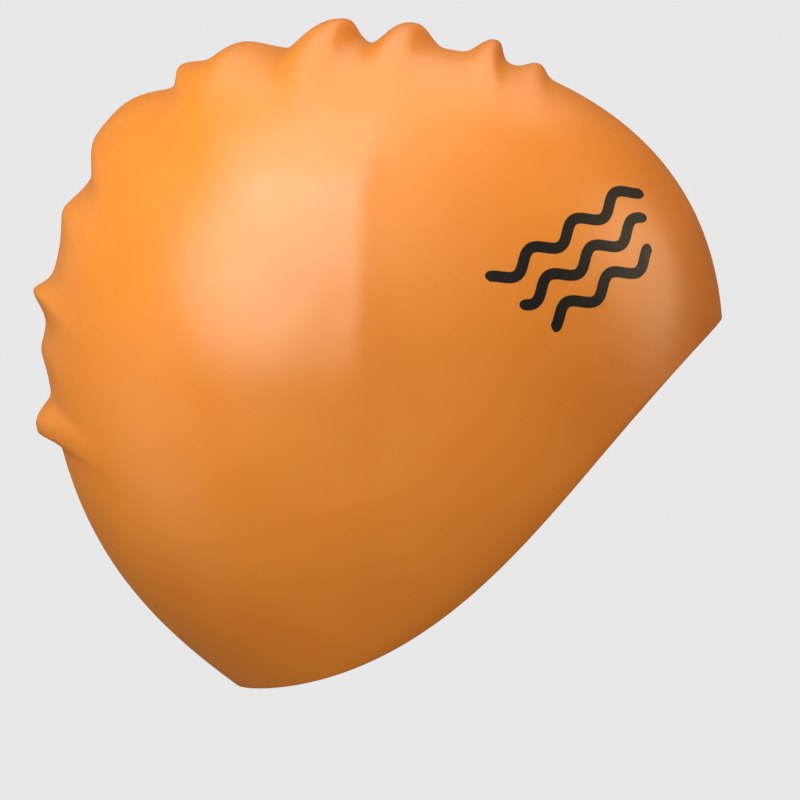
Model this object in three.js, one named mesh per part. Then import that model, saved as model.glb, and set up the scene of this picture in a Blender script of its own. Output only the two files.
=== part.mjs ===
// A moulded silicone swim cap, hollow and open below, in the form it takes when it is worn.
// Millimetres. +X points to the brow, +Y to the wearer's left, +Z up.
// The origin is the inner face of the crown on the mid-line, where the top of a head seats.
//
// The shell is one sheet with two parameters: along the crest from brow to nape, and across it
// from the right rim over the crest to the left rim. A side view in polar form (a bearing, with
// 0 at the front and 90 at the top, and a distance from the dome's centre) gives its outline.

import * as THREE from 'three';

// Driving sizes
const REACH = 96.5;
const HALF_WIDTH = 78;
const WALL = 0.7;
const FOLD_HEIGHT = 10;
const FOLD_FADE = 22;

// Form of the dome: how square its cross-section is, and how much it narrows towards the brow
const FULLNESS = 2.6;
const BROW_TAPER = 0.06;

// Where the side outline swells out from a circle of radius REACH. The last swell lies under the
// rim, where the neck goes on: it only sets how wide the shell still is at its rim.
const SWELLS = [
  { place: 'brow', bearing: 30, spread: 24, rise: 0.076 },
  { place: 'rear of the crown', bearing: 122, spread: 11, rise: 0.035 },
  { place: 'back of the head', bearing: 148, spread: 24, rise: 0.079 },
  { place: 'nape', bearing: 222, spread: 24, rise: 0.027 },
  { place: 'under the rim', bearing: 293, spread: 26, rise: 0.33 },
];

// The rim in side view is one cubic curve between its two ends on the mid-line. Each end leaves
// the outline in the direction of its heading, and its pull is a share of REACH. Its corner is
// the share of the curve, from that end, after which the sheet's side edge takes over.
const RIM_ENDS = {
  brow: { bearing: 9, heading: -140, pull: 0.715, corner: 0.12 },
  nape: { bearing: 244.6, heading: 6, pull: 0.74, corner: 0.14 },
};

// Folds of spare rubber that cross the crest, hollow like the rest of the shell. Bearings and
// spreads are in degrees. Height is a share of FOLD_HEIGHT, and fade a share of FOLD_FADE. A
// higher crown gives a flatter top. Lean rolls the ridge towards the nape (or the brow, if it is
// negative) by that share of its height. Sweep is how many degrees the ridge turns towards the
// nape on its way one FOLD_FADE out to either side, with a round turn of SWEEP_TURN over the
// crest. Each fold dies away with the straight distance from the crest.
const SWEEP_TURN = 6;
const FOLDS = [
  { bearing: 63.3, spread: 1.6, height: 0.33, crown: 2.4, lean: 0, sweep: 1, fade: 0.7 },
  { bearing: 71.8, spread: 1.9, height: 0.61, crown: 2.5, lean: -0.13, sweep: 1.5, fade: 0.9 },
  { bearing: 85.3, spread: 2.9, height: 0.7, crown: 2.6, lean: 0, sweep: 4, fade: 1.1 },
  { bearing: 98.6, spread: 3.5, height: 0.8, crown: 2.8, lean: -0.36, sweep: 4.5, fade: 1.2 },
  { bearing: 113.3, spread: 3.5, height: 0.53, crown: 1.8, lean: 0, sweep: 6, fade: 1.2 },
  { bearing: 122.5, spread: 1.9, height: 0.5, crown: 2.1, lean: 0.4, sweep: 2, fade: 1 },
  { bearing: 135.5, spread: 6, height: 0.68, crown: 4, lean: 0.59, sweep: 4, fade: 1.1 },
  { bearing: 153, spread: 2.3, height: 0.35, crown: 1.6, lean: 0.1, sweep: 2, fade: 0.9 },
  { bearing: 167.4, spread: 1.6, height: 0.57, crown: 1.7, lean: -0.1, sweep: 1, fade: 0.8 },
  { bearing: 176.2, spread: 2.3, height: 0.22, crown: 1.6, lean: 0.1, sweep: 1, fade: 0.8 },
  { bearing: 188.2, spread: 2.3, height: 0.63, crown: 2.9, lean: 0.32, sweep: 1, fade: 0.9 },
];

// How the sheet is divided. Rows lie across the crest and crowd where a fold is, each fold
// drawing about the same number of them. Columns crowd towards the crest.
const ROWS = 85;
const COLUMNS = 22;
const SMOOTH_ROW_STEP = 6;
const FOLD_ROW_SHARE = 1.3;
const CREST_CROWDING = 2.4;
const END_HOLD = 4;

const RUBBER = { color: 0xf08a3a, roughness: 0.42, metalness: 0 };

const CREST_SPAN = RIM_ENDS.nape.bearing - RIM_ENDS.brow.bearing;
const SIDES_SPAN = 1 - RIM_ENDS.brow.corner - RIM_ENDS.nape.corner;

const bell = (distance, power = 2) => Math.exp(-0.5 * Math.abs(distance) ** power);
const turnBetween = (from, to) => THREE.MathUtils.euclideanModulo(to - from + 180, 360) - 180;

function heading(bearing) {
  const angle = THREE.MathUtils.degToRad(bearing);
  return new THREE.Vector2(Math.cos(angle), Math.sin(angle));
}

// Distance from the dome's centre to the side outline: REACH, raised by a bell at each swell.
function reachAt(bearing) {
  let share = 1;
  for (const swell of SWELLS) {
    share += swell.rise * bell(turnBetween(swell.bearing, bearing) / swell.spread);
  }
  return REACH * share;
}

const outlineAt = (bearing) => heading(bearing).multiplyScalar(reachAt(bearing));

// The inner face of the crown is the origin, so the dome's centre lies this far below it.
const SEAT_HEIGHT = reachAt(90) - WALL;

function makeRim() {
  const { brow, nape } = RIM_ENDS;
  const start = outlineAt(brow.bearing);
  const end = outlineAt(nape.bearing);
  const startPull = heading(brow.heading).multiplyScalar(brow.pull * REACH);
  const endPull = heading(nape.heading).multiplyScalar(nape.pull * REACH);
  return new THREE.CubicBezierCurve(start, start.clone().add(startPull), end.clone().add(endPull), end);
}

const rim = makeRim();

// How far the rim bulges past the straight line between two of its points, a share of the way.
function rimBulge(from, to, share) {
  const chord = rim.getPoint(from).lerp(rim.getPoint(to), share);
  return rim.getPoint(from + (to - from) * share).sub(chord);
}

// Side-view place of a point: straight lines fan out from the crest to the rim below it. The
// first and last lines bend to lie on the rim itself, and those next to them relax from it.
function sidePlace(along, down) {
  const { brow, nape } = RIM_ENDS;
  const crest = outlineAt(brow.bearing + along * CREST_SPAN);
  const foot = rim.getPoint(brow.corner + along * SIDES_SPAN);
  const place = crest.lerp(foot, down);
  place.addScaledVector(rimBulge(0, brow.corner, down), (1 - along) ** END_HOLD);
  place.addScaledVector(rimBulge(1, 1 - nape.corner, down), along ** END_HOLD);
  return place;
}

// A point of the shell's outer face. With q as its share of the way from the dome's centre to
// the outline in side view, it stands out to the side by the half width times
// sqrt(1 - q^FULLNESS). Folds lift it along the face's normal and roll it along the crest.
function shellPoint(along, across) {
  const place = sidePlace(along, Math.abs(across) ** CREST_CROWDING);
  const bearing = THREE.MathUtils.radToDeg(place.angle());
  const q = Math.min(place.length() / reachAt(bearing), 1);
  const halfWidth = HALF_WIDTH * (1 - (BROW_TAPER * place.x) / REACH);
  const y = Math.sign(across) * halfWidth * Math.sqrt(1 - q ** FULLNESS);
  const out = heading(bearing);
  const rising = (FULLNESS * q ** (FULLNESS - 1)) / REACH;
  const normal = new THREE.Vector3(rising * out.x, (2 * y) / HALF_WIDTH ** 2, rising * out.y);
  normal.normalize();
  const towardsNape = new THREE.Vector3(-out.y, 0, out.x);
  const point = new THREE.Vector3(place.x, y, place.y);
  const crestBearing = RIM_ENDS.brow.bearing + along * CREST_SPAN;
  const fromCrest = Math.hypot(y, place.distanceTo(outlineAt(crestBearing)));
  const sweptOut = (Math.hypot(y, SWEEP_TURN) - SWEEP_TURN) / FOLD_FADE;
  for (const fold of FOLDS) {
    const offset = turnBetween(fold.bearing, crestBearing) - fold.sweep * sweptOut;
    const ridge = bell(offset / fold.spread, fold.crown);
    const lift = FOLD_HEIGHT * fold.height * ridge * bell(fromCrest / (fold.fade * FOLD_FADE));
    point.addScaledVector(normal, lift);
    point.addScaledVector(towardsNape, lift * fold.lean * ridge);
  }
  return point;
}

// Places of the rows along the crest, at equal steps of a measure that grows evenly on the
// smooth stretches and faster across a fold, the more so the narrower it is.
function rowPlaces() {
  const samples = 20 * ROWS;
  const measure = [0];
  for (let i = 1; i <= samples; i++) {
    const bearing = RIM_ENDS.brow.bearing + (CREST_SPAN * (i - 0.5)) / samples;
    let density = 1 / SMOOTH_ROW_STEP;
    for (const fold of FOLDS) {
      const offset = turnBetween(fold.bearing, bearing) / (2 * fold.spread);
      density += (FOLD_ROW_SHARE / fold.spread) * bell(offset);
    }
    measure.push(measure[i - 1] + density);
  }
  const places = [0];
  let i = 1;
  for (let row = 1; row < ROWS; row++) {
    const target = (measure[samples] * row) / ROWS;
    while (measure[i] < target) i++;
    const part = (target - measure[i - 1]) / (measure[i] - measure[i - 1]);
    places.push((i - 1 + part) / samples);
  }
  places.push(1);
  return places;
}

// Both faces of the shell and the lip that joins them round the rim, as one closed body. The
// inner face is the outer one moved in by WALL along its normals.
function makeShell() {
  const outer = [];
  for (const along of rowPlaces()) {
    for (let column = 0; column <= COLUMNS; column++) {
      outer.push(shellPoint(along, (2 * column) / COLUMNS - 1));
    }
  }
  const at = (row, column) => row * (COLUMNS + 1) + column;
  const face = [];
  for (let row = 0; row < ROWS; row++) {
    for (let column = 0; column < COLUMNS; column++) {
      const [a, b] = [at(row, column), at(row + 1, column)];
      const [c, d] = [at(row + 1, column + 1), at(row, column + 1)];
      // Diagonals run away from the sheet's four corners, which lie on the smooth rim.
      const throughFirst = row < ROWS / 2 === column < COLUMNS / 2;
      face.push(...(throughFirst ? [a, c, b, a, d, c] : [a, d, b, b, d, c]));
    }
  }
  const outerFace = new THREE.BufferGeometry().setFromPoints(outer);
  outerFace.setIndex(face);
  outerFace.computeVertexNormals();
  const normals = outerFace.getAttribute('normal');
  const inner = outer.map((point, i) => {
    const normal = new THREE.Vector3().fromBufferAttribute(normals, i);
    return point.clone().addScaledVector(normal, -WALL);
  });

  const edge = [];
  for (let column = 0; column < COLUMNS; column++) edge.push(at(0, column));
  for (let row = 0; row < ROWS; row++) edge.push(at(row, COLUMNS));
  for (let column = COLUMNS; column > 0; column--) edge.push(at(ROWS, column));
  for (let row = ROWS; row > 0; row--) edge.push(at(row, 0));
  const lip = [];
  edge.forEach((here, i) => {
    const next = edge[(i + 1) % edge.length];
    lip.push(here, here + outer.length, next, next, here + outer.length, next + outer.length);
  });
  const innerFace = [];
  for (let i = 0; i < face.length; i += 3) {
    innerFace.push(face[i] + outer.length, face[i + 2] + outer.length, face[i + 1] + outer.length);
  }
  const shell = new THREE.BufferGeometry().setFromPoints([...outer, ...inner]);
  shell.setIndex([...face, ...lip, ...innerFace]);
  shell.translate(0, 0, -SEAT_HEIGHT);
  return shell;
}

const capShell = new THREE.Mesh(makeShell(), new THREE.MeshStandardMaterial(RUBBER));
capShell.name = 'cap_shell';

const swimCap = new THREE.Group();
swimCap.add(capShell);

export default swimCap;
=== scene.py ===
"""Looks of a moulded silicone swim cap: its fine shell, a plain printed mark and the stage.

The file is laid out as an add-on and run as a script. Everything is in metres, with +X to the
brow, +Y to the wearer's left and +Z up. A side view of the cap is read in polar form: a bearing
in degrees, 0 at the front and 90 at the top, and a distance from the dome's centre.
"""

import math

import bpy
import numpy as np
from bpy.props import FloatProperty, FloatVectorProperty, IntProperty, PointerProperty
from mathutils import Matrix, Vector


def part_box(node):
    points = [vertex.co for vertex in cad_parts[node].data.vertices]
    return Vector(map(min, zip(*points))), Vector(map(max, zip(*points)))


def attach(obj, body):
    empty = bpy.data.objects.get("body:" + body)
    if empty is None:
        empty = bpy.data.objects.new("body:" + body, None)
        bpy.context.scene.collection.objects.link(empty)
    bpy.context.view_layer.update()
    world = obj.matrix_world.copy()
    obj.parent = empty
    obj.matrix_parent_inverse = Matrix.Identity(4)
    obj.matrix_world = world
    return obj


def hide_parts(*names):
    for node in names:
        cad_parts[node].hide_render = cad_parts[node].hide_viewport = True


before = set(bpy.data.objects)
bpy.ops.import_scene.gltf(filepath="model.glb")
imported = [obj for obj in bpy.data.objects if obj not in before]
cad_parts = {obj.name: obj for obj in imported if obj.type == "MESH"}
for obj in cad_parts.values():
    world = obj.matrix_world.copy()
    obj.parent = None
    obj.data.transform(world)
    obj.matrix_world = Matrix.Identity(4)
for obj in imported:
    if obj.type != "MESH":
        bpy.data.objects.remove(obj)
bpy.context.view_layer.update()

bl_info = {
    "name": "Swim Cap Looks",
    "version": (1, 0, 0),
    "blender": (4, 5, 0),
    "location": "3D View > Sidebar > Cap",
    "description": "Builds the shell, the printed mark and the stage of a silicone swim cap",
    "category": "Add Mesh",
}

cap_low = Vector(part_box("cap_shell")[0])

MM = 0.001

# Where the side outline swells out from a circle. The last swell lies under the rim, where the
# neck goes on: it only sets how wide the shell still is at its rim. Rises are shares of reach.
SWELLS = (
    {"bearing": 30, "spread": 24, "rise": 0.076},
    {"bearing": 122, "spread": 11, "rise": 0.035},
    {"bearing": 148, "spread": 24, "rise": 0.079},
    {"bearing": 222, "spread": 24, "rise": 0.027},
    {"bearing": 293, "spread": 26, "rise": 0.33},
)

# The rim's two ends on the mid-line: where each leaves the outline, in which direction, how
# hard it pulls the curve (a share of reach), and the share of the curve up to its corner.
BROW_END = {"bearing": 9, "heading": -140, "pull": 0.715, "corner": 0.12}
NAPE_END = {"bearing": 244.6, "heading": 6, "pull": 0.74, "corner": 0.14}

# Folds of spare rubber across the crest. Height is a share of the fold height and fade a share
# of the fold fade. A higher crown is flatter on top, lean rolls the ridge towards the nape, and
# sweep is how many degrees the ridge turns towards the nape one fold fade out on either side.
FOLDS = (
    {"bearing": 63.3, "spread": 1.6, "height": 0.33, "crown": 2.4, "lean": 0.0, "sweep": 1, "fade": 0.7},
    {"bearing": 71.8, "spread": 1.9, "height": 0.61, "crown": 2.5, "lean": -0.13, "sweep": 1.5, "fade": 0.9},
    {"bearing": 85.3, "spread": 2.9, "height": 0.7, "crown": 2.6, "lean": 0.0, "sweep": 4, "fade": 1.1},
    {"bearing": 98.6, "spread": 3.5, "height": 0.8, "crown": 2.8, "lean": -0.36, "sweep": 4.5, "fade": 1.2},
    {"bearing": 113.3, "spread": 3.5, "height": 0.53, "crown": 1.8, "lean": 0.0, "sweep": 6, "fade": 1.2},
    {"bearing": 122.5, "spread": 1.9, "height": 0.5, "crown": 2.1, "lean": 0.4, "sweep": 2, "fade": 1},
    {"bearing": 135.5, "spread": 6.0, "height": 0.68, "crown": 4.0, "lean": 0.59, "sweep": 4, "fade": 1.1},
    {"bearing": 153, "spread": 2.3, "height": 0.35, "crown": 1.6, "lean": 0.1, "sweep": 2, "fade": 0.9},
    {"bearing": 167.4, "spread": 1.6, "height": 0.57, "crown": 1.7, "lean": -0.1, "sweep": 1, "fade": 0.8},
    {"bearing": 176.2, "spread": 2.3, "height": 0.22, "crown": 1.6, "lean": 0.1, "sweep": 1, "fade": 0.8},
    {"bearing": 188.2, "spread": 2.3, "height": 0.63, "crown": 2.9, "lean": 0.32, "sweep": 1, "fade": 0.9},
)

# Shallow dents of the right side, placed in side view from the dome's centre.
DENTS = (
    {"forward": -30 * MM, "up": 46 * MM, "length": 5 * MM, "width": 2.2 * MM, "turn": 60, "depth": 0.5 * MM},
    {"forward": -13 * MM, "up": 13 * MM, "length": 6 * MM, "width": 2.5 * MM, "turn": 70, "depth": 0.25 * MM},
    {"forward": -9 * MM, "up": -28 * MM, "length": 9 * MM, "width": 5 * MM, "turn": 20, "depth": 0.35 * MM},
)

# The printed lines: how many spacings each lies above the middle one, and its length in waves.
PRINTED_LINES = (
    {"above": 1, "waves": 3.5},
    {"above": 0, "waves": 3.0},
    {"above": -1, "waves": 2.5},
)

# Lamps, all turned to the dome's centre. Place is forward, left and up from it and width is the
# lamp's own, in metres, and power is in watts. Only a lamp with gloss shows in reflections.
LAMPS = (
    {"name": "key", "place": (-0.18, -0.43, 0.22), "width": 0.5, "power": 2.25,
     "colour": (0.96, 1.0, 0.99), "gloss": True},
    {"name": "high_fill", "place": (-0.08, -0.25, 0.52), "width": 0.5, "power": 1.4,
     "colour": (0.98, 1.0, 0.95), "gloss": True},
    {"name": "top_fill", "place": (0.1, 0.3, 0.95), "width": 0.9, "power": 2.2,
     "colour": (1.0, 0.94, 0.9), "gloss": True},
    {"name": "side_fill", "place": (0.95, -0.1, 0.35), "width": 0.7, "power": 4,
     "colour": (1.0, 0.76, 0.48), "gloss": True},
    {"name": "left_fill", "place": (-0.85, -0.25, -0.3), "width": 0.7, "power": 3,
     "colour": (1.0, 0.98, 0.9), "gloss": False},
    {"name": "back_fill", "place": (-0.9, 0.85, 0.3), "width": 0.9, "power": 6.5,
     "colour": (1.0, 0.98, 0.93), "gloss": False},
    {"name": "far_fill", "place": (0.3, 0.95, 0.0), "width": 0.9, "power": 4,
     "colour": (1.0, 1.0, 1.0), "gloss": False},
    {"name": "under_fill", "place": (0.3, 0.3, -0.85), "width": 0.8, "power": 1.6,
     "colour": (1.0, 0.98, 0.95), "gloss": False},
)


class CapSizes(bpy.types.PropertyGroup):
    """Sizes of the shell."""

    reach: FloatProperty(
        name="Reach", description="Radius of the circle under the side outline",
        default=96.5 * MM, min=0.05, unit="LENGTH", subtype="DISTANCE")
    half_width: FloatProperty(
        name="Half width", description="From the mid-line to the widest place of one side",
        default=78 * MM, min=0.04, unit="LENGTH", subtype="DISTANCE")
    wall: FloatProperty(
        name="Wall", description="Thickness of the rubber",
        default=0.7 * MM, min=0.0003, unit="LENGTH", subtype="DISTANCE")
    fold_height: FloatProperty(
        name="Fold height", description="The height that the folds' shares are of",
        default=10 * MM, min=0.0, unit="LENGTH", subtype="DISTANCE")
    fold_fade: FloatProperty(
        name="Fold fade", description="How far from the crest a fold dies away",
        default=22 * MM, min=0.001, unit="LENGTH", subtype="DISTANCE")
    fullness: FloatProperty(
        name="Fullness", description="How square the cross-section is", default=2.6, min=1.5, max=6)
    brow_taper: FloatProperty(
        name="Brow taper", description="Share of its width that the shell loses towards the brow",
        default=0.06, min=0.0, max=0.4, subtype="FACTOR")
    ridge_height: FloatProperty(
        name="Ridge height", description="Height of the upright ridge on the right side",
        default=2.4 * MM, min=0.0, unit="LENGTH", subtype="DISTANCE")
    rows: IntProperty(
        name="Rows", description="Rows of faces from brow to nape", default=330, min=40)
    columns: IntProperty(
        name="Columns", description="Columns of faces from rim to rim", default=132, min=20)


class CapFinish(bpy.types.PropertyGroup):
    """Colours and finish of the rubber and the print."""

    rubber: FloatVectorProperty(
        name="Rubber", description="Main colour of the silicone",
        default=(0.86, 0.27, 0.032), size=3, min=0, max=1, subtype="COLOR")
    rubber_deep: FloatVectorProperty(
        name="Deeper rubber", description="Colour where the pigment is a little denser",
        default=(0.84, 0.255, 0.029), size=3, min=0, max=1, subtype="COLOR")
    roughness: FloatProperty(
        name="Roughness", description="Roughness of the satin moulded face",
        default=0.36, min=0, max=1, subtype="FACTOR")
    print_ink: FloatVectorProperty(
        name="Print", description="Colour of the printed waves",
        default=(0.008, 0.007, 0.007), size=3, min=0, max=1, subtype="COLOR")


class CapMark(bpy.types.PropertyGroup):
    """The generic print on the right side: plain wavy lines."""

    forward: FloatProperty(
        name="Forward", description="Place of the print in side view, from the dome's centre",
        default=56 * MM, unit="LENGTH", subtype="DISTANCE")
    up: FloatProperty(
        name="Up", description="Place of the print in side view, from the dome's centre",
        default=30 * MM, unit="LENGTH", subtype="DISTANCE")
    slant: FloatProperty(
        name="Slant", description="How far the lines rise towards the brow",
        default=math.radians(34), unit="ROTATION", subtype="ANGLE")
    stroke: FloatProperty(
        name="Stroke", description="Thickness of a printed line",
        default=3.2 * MM, min=0.0005, unit="LENGTH", subtype="DISTANCE")
    spacing: FloatProperty(
        name="Spacing", description="From one line to the next",
        default=9 * MM, min=0.001, unit="LENGTH", subtype="DISTANCE")
    wave_length: FloatProperty(
        name="Wave length", description="Length of one wave",
        default=15 * MM, min=0.002, unit="LENGTH", subtype="DISTANCE")
    wave_height: FloatProperty(
        name="Wave height", description="Height of a wave over the line's middle",
        default=2.1 * MM, min=0.0, unit="LENGTH", subtype="DISTANCE")
    ink_height: FloatProperty(
        name="Ink height", description="How far the ink stands proud of the rubber",
        default=0.06 * MM, min=0.00001, unit="LENGTH", subtype="DISTANCE")


class CapStage(bpy.types.PropertyGroup):
    """Floor, backdrop, lights and camera."""

    floor_drop: FloatProperty(
        name="Floor drop", description="Floor under the cap's lowest place",
        default=1.0, min=0.0, unit="LENGTH", subtype="DISTANCE")
    floor_color: FloatVectorProperty(
        name="Floor", description="Colour of the floor and backdrop",
        default=(0.74, 0.74, 0.75), size=3, min=0, max=1, subtype="COLOR")
    floor_glow: FloatProperty(
        name="Floor glow", description="How strongly the floor and backdrop are lit from behind",
        default=1.08, min=0.0)
    air_color: FloatVectorProperty(
        name="Air", description="Colour of the faint light from all round",
        default=(1.0, 0.75, 0.55), size=3, min=0, max=1, subtype="COLOR")
    air_glow: FloatProperty(
        name="Air glow", description="Strength of the faint light from all round",
        default=0.07, min=0.0)
    camera_distance: FloatProperty(
        name="Camera distance", description="From the camera to the mid-plane",
        default=0.9, min=0.2, unit="LENGTH", subtype="DISTANCE")
    camera_forward: FloatProperty(
        name="Camera forward", description="Camera's place along the cap, from the dome's centre",
        default=4.5 * MM, unit="LENGTH", subtype="DISTANCE")
    camera_up: FloatProperty(
        name="Camera up", description="Camera's height over the dome's centre",
        default=-9 * MM, unit="LENGTH", subtype="DISTANCE")
    view_width: FloatProperty(
        name="View width", description="Width of the view at the mid-plane",
        default=0.24, min=0.05, unit="LENGTH", subtype="DISTANCE")


# Shape of the shell

def bell(distance, power=2):
    """A smooth hump: e to the power of minus half the distance's power."""
    return np.exp(-0.5 * np.abs(distance) ** power)


def turn_between(start, end):
    """Smallest turn from one bearing to another, in degrees."""
    return (end - start + 180) % 360 - 180


def heading(bearing):
    """Unit direction of a bearing in side view, as forward and up."""
    angle = np.radians(bearing)
    return np.stack([np.cos(angle), np.sin(angle)], axis=-1)


def reach_at(sizes, bearing):
    """Distance from the dome's centre to the outline: reach, raised by a bell at each swell."""
    share = np.ones_like(np.asarray(bearing, dtype=float))
    for swell in SWELLS:
        share = share + swell["rise"] * bell(turn_between(swell["bearing"], bearing) / swell["spread"])
    return sizes.reach * share


def outline_at(sizes, bearing):
    """Place of the outline in side view."""
    return reach_at(sizes, bearing)[..., None] * heading(bearing)


def rim_at(sizes, part):
    """The rim in side view: one cubic curve from the brow (0) to the nape (1)."""
    part = np.asarray(part, dtype=float)[..., None]
    rest = 1 - part
    start = outline_at(sizes, np.array(float(BROW_END["bearing"])))
    end = outline_at(sizes, np.array(float(NAPE_END["bearing"])))
    near_start = start + BROW_END["pull"] * sizes.reach * heading(BROW_END["heading"])
    near_end = end + NAPE_END["pull"] * sizes.reach * heading(NAPE_END["heading"])
    return (rest ** 3 * start + 3 * rest ** 2 * part * near_start
            + 3 * rest * part ** 2 * near_end + part ** 3 * end)


def rim_bulge(sizes, start, end, share):
    """How far the rim bulges past the straight line between two of its points."""
    first, last = rim_at(sizes, start), rim_at(sizes, end)
    chord = first + share[..., None] * (last - first)
    return rim_at(sizes, start + (end - start) * share) - chord


def crest_bearing(along):
    """Bearing of the crest where a row of the sheet starts."""
    return BROW_END["bearing"] + along * (NAPE_END["bearing"] - BROW_END["bearing"])


def side_place(sizes, along, down):
    """Side-view place of the sheet: straight lines fan out from the crest to the rim below it.

    The first and last lines bend to lie on the rim, and those next to them relax from it.
    """
    end_hold = 4
    front, back = BROW_END["corner"], NAPE_END["corner"]
    crest = outline_at(sizes, crest_bearing(along))
    foot = rim_at(sizes, front + along * (1 - front - back))
    place = crest + down[..., None] * (foot - crest)
    place = place + ((1 - along) ** end_hold)[..., None] * rim_bulge(sizes, 0, front, down)
    return place + (along ** end_hold)[..., None] * rim_bulge(sizes, 1, 1 - back, down)


def dome_at(sizes, place, side):
    """Point and outward normal of the plain dome over a side-view place, on the given side.

    With q as the place's share of the way from the centre to the outline, the dome stands out
    by the half width times the square root of 1 - q ** fullness.
    """
    bearing = np.degrees(np.arctan2(place[..., 1], place[..., 0]))
    share = np.clip(np.hypot(place[..., 0], place[..., 1]) / reach_at(sizes, bearing), 0, 1)
    half_width = sizes.half_width * (1 - sizes.brow_taper * place[..., 0] / sizes.reach)
    out = side * half_width * np.sqrt(1 - share ** sizes.fullness)
    rise = sizes.fullness * share ** (sizes.fullness - 1) / sizes.reach
    direction = heading(bearing)
    normal = np.stack([rise * direction[..., 0], 2 * out / sizes.half_width ** 2,
                       rise * direction[..., 1]], axis=-1)
    normal /= np.linalg.norm(normal, axis=-1, keepdims=True)
    point = np.stack([place[..., 0], out, place[..., 1]], axis=-1)
    return point, normal


def fade_in(distance, softness):
    """A soft step from 0 to 1 where the distance passes nought."""
    return 1 / (1 + np.exp(-distance / softness))


def upright_ridge(sizes, place):
    """Height of the upright ridge, an edge where the taut rubber changes direction.

    Its line is nearly upright and bends forwards near the crest. The face falls away from it
    by e to the power of minus the distance, slowly behind and faster in front, and the ridge
    dies out towards the crest and is only faint low on the side.
    """
    line_forward, bend, bend_length = -6.6 * MM, 5 * MM, 40 * MM
    bend_start, low_slope = 30 * MM, 0.025
    blunt, fall_front, fall_behind = 0.4 * MM, 20 * MM, 40 * MM
    low_strength, low_end, strong_from, crest_end = 0.25, -62 * MM, -8 * MM, 72 * MM
    forward, up = place[..., 0], place[..., 1]
    above = up - bend_start
    line = line_forward + bend * (np.clip(above, 0, None) / bend_length) ** 2
    offset = forward - line - low_slope * np.clip(above, None, 0)
    fall = np.where(offset > 0, fall_front, fall_behind)
    profile = np.exp(-(np.hypot(offset, blunt) - blunt) / fall)
    strength = low_strength + (1 - low_strength) * fade_in(up - strong_from, 5 * MM)
    strength = strength * fade_in(crest_end - up, 4 * MM) * fade_in(up - low_end, 5 * MM)
    return sizes.ridge_height * profile * strength


def relief(sizes, place, side):
    """Low relief of the sides in metres: the right side's ridge and dents, and slow ripples."""
    right = (np.asarray(side) < 0) * 1.0
    height = right * upright_ridge(sizes, place)
    for dent in DENTS:
        turn = math.radians(dent["turn"])
        ahead = place[..., 0] - dent["forward"]
        above = place[..., 1] - dent["up"]
        length = (ahead * math.cos(turn) + above * math.sin(turn)) / dent["length"]
        width = (above * math.cos(turn) - ahead * math.sin(turn)) / dent["width"]
        height = height - right * dent["depth"] * bell(np.hypot(length, width))
    ripple_height = 0.06 * MM
    upright = np.sin(place[..., 0] / (9 * MM) + 2 * np.sin(place[..., 1] / (17 * MM)))
    level = np.sin(place[..., 1] / (12 * MM) + side * place[..., 0] / (21 * MM))
    return height + ripple_height * upright * level


def shell_point(sizes, along, across):
    """A point of the outer face: the dome, its low relief, and the folds over the crest.

    Each fold lifts the face along its normal by a bell across the ridge, and rolls it along
    the crest by its lean. Its ridge crosses the crest in a round turn and then runs towards
    the nape by its sweep. It dies away with the straight distance from the crest.
    """
    crest_crowding = 2.4
    place = side_place(sizes, along, np.abs(across) ** crest_crowding)
    side = np.sign(across)
    point, normal = dome_at(sizes, place, side)
    crest = outline_at(sizes, crest_bearing(along))
    from_crest = np.hypot(point[..., 1], np.linalg.norm(place - crest, axis=-1))
    below_folds = 1 - bell(from_crest / sizes.fold_fade)
    moved = point + (relief(sizes, place, side) * below_folds)[..., None] * normal
    radial = place / np.linalg.norm(place, axis=-1, keepdims=True)
    to_nape = np.stack([-radial[..., 1], np.zeros_like(side * along), radial[..., 0]], axis=-1)
    sweep_turn = 6 * MM
    swept_out = (np.hypot(point[..., 1], sweep_turn) - sweep_turn) / sizes.fold_fade
    for fold in FOLDS:
        offset = turn_between(fold["bearing"], crest_bearing(along))
        offset = offset - fold["sweep"] * swept_out
        ridge = bell(offset / fold["spread"], fold["crown"])
        lift = sizes.fold_height * fold["height"] * ridge
        lift = lift * bell(from_crest / (fold["fade"] * sizes.fold_fade))
        moved = moved + lift[..., None] * (normal + (fold["lean"] * ridge)[..., None] * to_nape)
    return moved


def seat_height(sizes):
    """Height of the crown's inner face, the origin, over the dome's centre."""
    return float(reach_at(sizes, np.array(90.0))) - sizes.wall


def row_places(count):
    """Places of the rows along the crest, crowded where a fold is: equal steps of a measure
    that grows evenly on smooth stretches and faster across a fold, the narrower the more."""
    samples = 40 * count
    smooth_density = 0.35
    middles = crest_bearing((np.arange(samples) + 0.5) / samples)
    density = np.full(samples, smooth_density)
    for fold in FOLDS:
        density += bell((middles - fold["bearing"]) / (2 * fold["spread"])) / fold["spread"]
    measure = np.concatenate([[0], np.cumsum(density)])
    targets = np.linspace(0, measure[-1], count + 1)
    return np.interp(targets, measure, np.linspace(0, 1, samples + 1))


# Meshes from arrays

def grid_normals(points):
    """Vertex normals of a grid: the sum of the crossed diagonals of the faces round each."""
    first = points[1:, 1:] - points[:-1, :-1]
    second = points[1:, :-1] - points[:-1, 1:]
    faces = np.cross(first, second)
    total = np.zeros_like(points)
    for rows in (slice(0, -1), slice(1, None)):
        for columns in (slice(0, -1), slice(1, None)):
            total[rows, columns] += faces
    return total / np.linalg.norm(total, axis=-1, keepdims=True)


def grid_faces(rows, columns, start=0):
    """Four-cornered faces of a grid of vertices, row by row."""
    index = start + np.arange(rows * columns).reshape(rows, columns)
    corners = [index[:-1, :-1], index[:-1, 1:], index[1:, 1:], index[1:, :-1]]
    return np.stack(corners, axis=-1).reshape(-1, 4)


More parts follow.
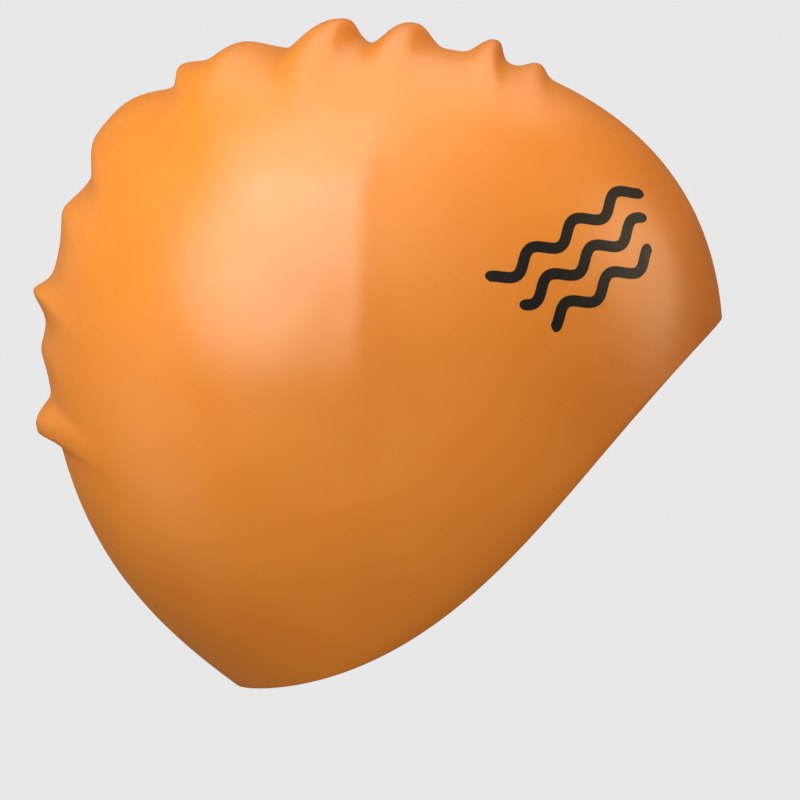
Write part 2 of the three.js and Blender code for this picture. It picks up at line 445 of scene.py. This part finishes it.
def mesh_object(name, points, faces, material):
    """A smooth-shaded object of four-cornered faces, with its place in its mesh."""
    mesh = bpy.data.meshes.new(name)
    mesh.vertices.add(len(points))
    mesh.vertices.foreach_set("co", np.ascontiguousarray(points, dtype=np.float32).ravel())
    mesh.loops.add(faces.size)
    mesh.loops.foreach_set("vertex_index", faces.ravel().astype(np.int32))
    mesh.polygons.add(len(faces))
    mesh.polygons.foreach_set("loop_start", np.arange(0, faces.size, 4, dtype=np.int32))
    mesh.update(calc_edges=True)
    mesh.validate()
    mesh.shade_smooth()
    mesh.materials.append(material)
    piece = bpy.data.objects.new(name, mesh)
    bpy.context.scene.collection.objects.link(piece)
    return piece


def shell_mesh(sizes):
    """Points and faces of the closed shell: outer face, inner face and a rounded lip.

    The inner face is the outer one moved in by the wall along its normals. The lip is half a
    circle as wide as the wall, swept round the rim.
    """
    lip_steps = 6
    rows, columns = sizes.rows, sizes.columns
    along = row_places(rows)[:, None] + np.zeros(columns + 1)
    across = np.linspace(-1, 1, columns + 1)[None, :] + np.zeros((rows + 1, 1))
    outer = shell_point(sizes, along, across)
    normals = grid_normals(outer)
    inner = outer - sizes.wall * normals

    index = np.arange((rows + 1) * (columns + 1)).reshape(rows + 1, columns + 1)
    edge = np.concatenate([index[0, :-1], index[:-1, -1], index[-1, :0:-1], index[:0:-1, 0]])
    outer, inner, normals = (array.reshape(-1, 3) for array in (outer, inner, normals))
    rim, rim_normal = (outer[edge] + inner[edge]) / 2, normals[edge]
    ahead = np.roll(rim, -1, axis=0) - np.roll(rim, 1, axis=0)
    outwards = np.cross(ahead, rim_normal)
    outwards /= np.linalg.norm(outwards, axis=-1, keepdims=True)
    turns = np.linspace(0, math.pi, lip_steps + 1)[1:-1]
    lip = [rim + sizes.wall / 2 * (math.cos(turn) * rim_normal + math.sin(turn) * outwards)
           for turn in turns]

    points = np.concatenate([outer, inner] + lip)
    count = len(outer)
    outer_faces = grid_faces(rows + 1, columns + 1)
    inner_faces = grid_faces(rows + 1, columns + 1, start=count)[:, ::-1]
    rings = [edge] + [2 * count + step * len(edge) + np.arange(len(edge)) for step in range(len(lip))]
    rings.append(edge + count)
    strips = [np.stack([here, after, np.roll(after, -1), np.roll(here, -1)], axis=-1)
              for here, after in zip(rings, rings[1:])]
    points[:, 2] -= seat_height(sizes)
    return points, np.concatenate([outer_faces, inner_faces] + strips)


# Materials

def new_material(name):
    """A node material with its shader, ready for its own nodes."""
    material = bpy.data.materials.new(name)
    material.use_nodes = True
    nodes, links = material.node_tree.nodes, material.node_tree.links
    return material, nodes, links, nodes["Principled BSDF"]


def noise_on_object(nodes, links, scale, detail):
    """A noise of the given scale (cells for each metre) on the object's own coordinates."""
    place = nodes.new("ShaderNodeTexCoord")
    noise = nodes.new("ShaderNodeTexNoise")
    noise.inputs["Scale"].default_value = scale
    noise.inputs["Detail"].default_value = detail
    links.new(place.outputs["Object"], noise.inputs["Vector"])
    return noise.outputs["Fac"]


def ranged(nodes, links, source, given, wanted):
    """A value moved from the given range to the wanted one, held at its ends."""
    node = nodes.new("ShaderNodeMapRange")
    sockets = ("From Min", "From Max", "To Min", "To Max")
    for socket, value in zip(sockets, (*given, *wanted)):
        node.inputs[socket].default_value = value
    links.new(source, node.inputs["Value"])
    return node.outputs["Result"]


def mixed(nodes, links, factor, first, second):
    """A colour between two others, each a colour or a socket."""
    first_input, second_input, result = 6, 7, 2
    node = nodes.new("ShaderNodeMix")
    node.data_type = "RGBA"
    links.new(factor, node.inputs["Factor"])
    for socket, colour in ((node.inputs[first_input], first), (node.inputs[second_input], second)):
        if isinstance(colour, bpy.types.NodeSocket):
            links.new(colour, socket)
        else:
            socket.default_value = (*colour, 1)
    return node.outputs[result]


def silicone_material(finish):
    """Satin moulded silicone: even pigment with slow drifts, a few specks, and a fine tooth."""
    speck_colour, speck_strength = (0.35, 0.1, 0.02), 0.35
    tooth_strength, tooth_height = 0.25, 0.04 * MM
    material, nodes, links, shader = new_material("satin_silicone")
    slow = noise_on_object(nodes, links, scale=38, detail=3)
    drift = ranged(nodes, links, slow, given=(0.35, 0.65), wanted=(0, 1))
    colour = mixed(nodes, links, drift, finish.rubber, finish.rubber_deep)

    place = nodes.new("ShaderNodeTexCoord")
    dots = nodes.new("ShaderNodeTexVoronoi")
    dots.inputs["Scale"].default_value = 55
    links.new(place.outputs["Object"], dots.inputs["Vector"])
    speck = ranged(nodes, links, dots.outputs["Distance"], given=(0.012, 0.02), wanted=(speck_strength, 0))
    colour = mixed(nodes, links, speck, colour, speck_colour)
    links.new(colour, shader.inputs["Base Color"])

    worn = noise_on_object(nodes, links, scale=60, detail=4)
    satin = (finish.roughness - 0.04, finish.roughness + 0.05)
    links.new(ranged(nodes, links, worn, given=(0.3, 0.7), wanted=satin), shader.inputs["Roughness"])

    bump = nodes.new("ShaderNodeBump")
    bump.inputs["Strength"].default_value = tooth_strength
    bump.inputs["Distance"].default_value = tooth_height
    links.new(noise_on_object(nodes, links, scale=1400, detail=3), bump.inputs["Height"])
    links.new(bump.outputs["Normal"], shader.inputs["Normal"])

    shader.inputs["IOR"].default_value = 1.42
    shader.inputs["Specular IOR Level"].default_value = 1.0
    shader.inputs["Subsurface Weight"].default_value = 0.12
    shader.inputs["Subsurface Radius"].default_value = (1.0, 0.35, 0.1)
    shader.inputs["Subsurface Scale"].default_value = 3 * MM
    shader.inputs["Sheen Weight"].default_value = 0.02
    shader.inputs["Sheen Roughness"].default_value = 0.4
    shader.inputs["Sheen Tint"].default_value = (1.0, 0.78, 0.72, 1)
    return material


def print_material(finish):
    """Silk-screened ink: near black, with a faint grain in its gloss."""
    thin_ink = (0.018, 0.014, 0.013)
    material, nodes, links, shader = new_material("screen_print")
    grain = noise_on_object(nodes, links, scale=900, detail=2)
    thin = ranged(nodes, links, grain, given=(0.3, 0.7), wanted=(0, 0.25))
    links.new(mixed(nodes, links, thin, finish.print_ink, thin_ink), shader.inputs["Base Color"])
    uneven = noise_on_object(nodes, links, scale=500, detail=3)
    rough = ranged(nodes, links, uneven, given=(0.3, 0.7), wanted=(0.4, 0.52))
    links.new(rough, shader.inputs["Roughness"])
    shader.inputs["Specular IOR Level"].default_value = 0.3
    return material


def backdrop_material(stage):
    """Matt pale paper, lit evenly from behind like the wall of a light tent."""
    unlit_paper = (0.03, 0.03, 0.03)
    material, _, _, shader = new_material("pale_paper")
    shader.inputs["Base Color"].default_value = (*unlit_paper, 1)
    shader.inputs["Roughness"].default_value = 0.9
    shader.inputs["Emission Color"].default_value = (*stage.floor_color, 1)
    shader.inputs["Emission Strength"].default_value = stage.floor_glow
    return material


# Operators

class CAP_OT_shell(bpy.types.Operator):
    """Make the cap's shell with its folds, ridge, dents and rounded rim"""

    bl_idname = "cap.shell"
    bl_label = "Make the shell"

    def execute(self, context):
        settings = context.scene
        points, faces = shell_mesh(settings.cap_sizes)
        shell = mesh_object("shell", points, faces, silicone_material(settings.cap_finish))
        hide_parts("cap_shell")
        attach(shell, "root")
        return {"FINISHED"}


def wavy_line(sizes, mark, middle, length):
    """A printed line as a closed ribbon on the right side: rings of points along it.

    Its middle runs along the slant and swings by a sine of the wave height. Its cross-section
    has a flat top just proud of the rubber and a base just under it, and its ends are round.
    """
    stations, end_inset, top_share = 200, 0.02, 0.96
    half = mark.stroke / 2
    run = length / 2 * np.cos(np.linspace(math.pi, 0.0, stations))
    run = run * (1 - end_inset * half / length)
    turns = 2 * math.pi / mark.wave_length
    swing = mark.wave_height * np.sin(turns * run)
    slope = mark.wave_height * turns * np.cos(turns * run)
    to_end = np.clip((length / 2 - np.abs(run)) / half, 0, 1)
    width = half * np.sqrt(1 - (1 - to_end) ** 2)

    ahead = np.array([math.cos(mark.slant), math.sin(mark.slant)])
    above = np.array([-ahead[1], ahead[0]])
    stretch = np.hypot(1, slope)
    across = (-slope / stretch)[:, None] * ahead + (1 / stretch)[:, None] * above
    line = np.array(middle) + run[:, None] * ahead + swing[:, None] * above

    sideways = np.array([-1, -top_share, 0, top_share, 1, 0])
    outwards = np.array([-1, 1, 1, 1, -1, -1])
    place = line[:, None, :] + (sideways * width[:, None])[..., None] * across[:, None, :]
    point, normal = dome_at(sizes, place, -1)
    lift = relief(sizes, place, np.full(place.shape[:-1], -1.0)) + mark.ink_height * outwards
    return point + lift[..., None] * normal


def ribbon_faces(stations, corners, start):
    """Faces of a closed ribbon: its sides, ring by ring, and two faces over each end.

    Corners 0 to 4 of a ring run over the top from one edge of the base to the other, and
    corner 5 is the middle of the base.
    """
    index = start + np.arange(stations * corners).reshape(stations, corners)
    index = np.concatenate([index, index[:, :1]], axis=1)
    sides = [index[:-1, :-1], index[:-1, 1:], index[1:, 1:], index[1:, :-1]]
    first, last = index[0], index[-1]
    ends = [first[[0, 5, 2, 1]], first[[5, 4, 3, 2]], last[[0, 1, 2, 5]], last[[5, 2, 3, 4]]]
    return np.concatenate([np.stack(sides, axis=-1).reshape(-1, 4), np.stack(ends)])


class CAP_OT_mark(bpy.types.Operator):
    """Print three plain wavy lines on the right side"""

    bl_idname = "cap.mark"
    bl_label = "Print the waves"

    def execute(self, context):
        settings = context.scene
        sizes, mark = settings.cap_sizes, settings.cap_mark
        above = np.array([-math.sin(mark.slant), math.cos(mark.slant)])
        edge_angle = math.radians(30)
        points, faces = [], []
        for line in PRINTED_LINES:
            middle = np.array([mark.forward, mark.up]) + line["above"] * mark.spacing * above
            ribbon = wavy_line(sizes, mark, middle, line["waves"] * mark.wave_length)
            stations, corners = ribbon.shape[:2]
            faces.append(ribbon_faces(stations, corners, start=len(points) * stations * corners))
            points.append(ribbon.reshape(-1, 3))
        points = np.concatenate(points)
        points[:, 2] -= seat_height(sizes)
        ink = print_material(settings.cap_finish)
        waves = mesh_object("printed_waves", points, np.concatenate(faces), ink)
        waves.data.set_sharp_from_angle(angle=edge_angle)
        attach(waves, "root")
        return {"FINISHED"}


def add_lamp(row, centre):
    """A round soft light from a row of the lamp table, turned to the dome's centre."""
    light = bpy.data.lights.new(row["name"], "AREA")
    light.shape = "DISK"
    light.size = row["width"]
    light.energy = row["power"]
    light.color = row["colour"]
    lamp = bpy.data.objects.new(row["name"], light)
    lamp.visible_camera = False
    lamp.visible_glossy = row["gloss"]
    place = centre + Vector(row["place"])
    lamp.location = place
    lamp.rotation_euler = (centre - place).to_track_quat("-Z", "Y").to_euler()
    bpy.context.scene.collection.objects.link(lamp)


class CAP_OT_stage(bpy.types.Operator):
    """Set the pale floor and backdrop, the soft lights and the camera"""

    bl_idname = "cap.stage"
    bl_label = "Set the stage"

    def execute(self, context):
        settings = context.scene
        sizes, stage = settings.cap_sizes, settings.cap_stage
        centre = Vector((0, 0, -seat_height(sizes)))
        self.add_backdrop(stage)
        for row in LAMPS:
            add_lamp(row, centre)
        world = bpy.data.worlds.new("studio")
        world.use_nodes = True
        background = world.node_tree.nodes["Background"]
        background.inputs["Color"].default_value = (*stage.air_color, 1)
        background.inputs["Strength"].default_value = stage.air_glow
        settings.world = world
        settings.view_settings.view_transform = "Standard"
        self.add_camera(settings, stage, centre)
        return {"FINISHED"}

    def add_backdrop(self, stage):
        """A round floor that sweeps up into a wall on all sides: its profile turned about Z.

        It stays out of reflections and bounced light, so its size doesn't alter the lighting.
        """
        steps, sweep_steps = 96, 32
        middle, flat, sweep, height = 1 * MM, 1.6, 0.9, 4.0
        floor = cap_low.z - stage.floor_drop
        turns = np.linspace(0, math.pi / 2, sweep_steps + 1)
        out = np.concatenate([[middle], flat + sweep * np.sin(turns), [flat + sweep]])
        up = floor + np.concatenate([[0], sweep * (1 - np.cos(turns)), [height]])
        around = np.linspace(0, 2 * math.pi, steps + 1)[None, :]
        points = np.stack([
            out[:, None] * np.cos(around),
            out[:, None] * np.sin(around),
            up[:, None] + 0 * around,
        ], axis=-1).reshape(-1, 3)
        faces = grid_faces(len(out), steps + 1)
        backdrop = mesh_object("backdrop", points, faces, backdrop_material(stage))
        backdrop.visible_glossy = False
        backdrop.visible_diffuse = False

    def add_camera(self, settings, stage, centre):
        """A level camera that looks square at the right side from the photograph's distance."""
        sensor, farthest = 36.0, 20
        camera = bpy.data.cameras.new("camera")
        camera.sensor_width = sensor
        camera.lens = sensor * stage.camera_distance / stage.view_width
        camera.clip_end = farthest
        holder = bpy.data.objects.new("camera", camera)
        offset = (stage.camera_forward, -stage.camera_distance, stage.camera_up)
        holder.location = centre + Vector(offset)
        holder.rotation_euler = (math.pi / 2, 0, 0)
        settings.collection.objects.link(holder)
        settings.camera = holder


class CAP_PT_panel(bpy.types.Panel):
    """Lists the cap's operators and settings"""

    bl_idname = "CAP_PT_panel"
    bl_label = "Swim cap"
    bl_space_type = "VIEW_3D"
    bl_region_type = "UI"
    bl_category = "Cap"

    def draw(self, context):
        for operator in STEPS:
            self.layout.operator(operator.bl_idname)
        for name, group in SETTINGS:
            box = self.layout.box()
            box.label(text=group.__doc__)
            for prop in group.__annotations__:
                box.prop(getattr(context.scene, name), prop)


STEPS = (CAP_OT_shell, CAP_OT_mark, CAP_OT_stage)
SETTINGS = (
    ("cap_sizes", CapSizes),
    ("cap_finish", CapFinish),
    ("cap_mark", CapMark),
    ("cap_stage", CapStage),
)


def register():
    """Registers the settings, the operators and the panel."""
    for name, group in SETTINGS:
        bpy.utils.register_class(group)
        setattr(bpy.types.Scene, name, PointerProperty(type=group))
    for operator in STEPS:
        bpy.utils.register_class(operator)
    bpy.utils.register_class(CAP_PT_panel)


def unregister():
    """Removes them again, in the opposite order."""
    bpy.utils.unregister_class(CAP_PT_panel)
    for operator in reversed(STEPS):
        bpy.utils.unregister_class(operator)
    for name, group in reversed(SETTINGS):
        delattr(bpy.types.Scene, name)
        bpy.utils.unregister_class(group)


def main():
    """Builds every piece in order."""
    register()
    bpy.ops.cap.shell()
    bpy.ops.cap.mark()
    bpy.ops.cap.stage()
    bpy.context.view_layer.update()


if __name__ == "__main__":
    main()
